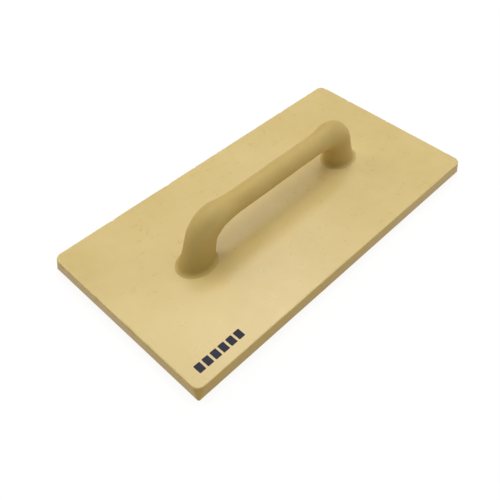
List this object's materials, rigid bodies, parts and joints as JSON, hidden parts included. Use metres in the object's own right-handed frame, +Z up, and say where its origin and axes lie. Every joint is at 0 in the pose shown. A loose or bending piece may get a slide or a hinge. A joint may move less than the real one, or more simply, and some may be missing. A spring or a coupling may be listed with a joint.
{
  "type": "moulded polyurethane float",
  "caption": "Rectangular moulded float for rendering and concrete, with a bridge handle along its centreline and a steel core moulded into the handle.",
  "frame": {"origin": "centre of the sole, the flat working face that the float rests on", "axes": "+X along the board and the grip, +Y across the board, +Z up from the sole towards the grip"},
  "size_m": [0.45, 0.23, 0.0841],
  "materials": {
    "rigid_polyurethane": "matt, moulded skin",
    "core_steel": "drawn, plain",
    "marking_ink": "matt print"
  },
  "bodies": {
    "root": {"board": "rigid_polyurethane", "handle": "rigid_polyurethane", "handle_core_rod": "core_steel", "front_anchor_plate": "core_steel", "rear_anchor_plate": "core_steel", "printed_mark": "marking_ink"}
  },
  "joints": []
}
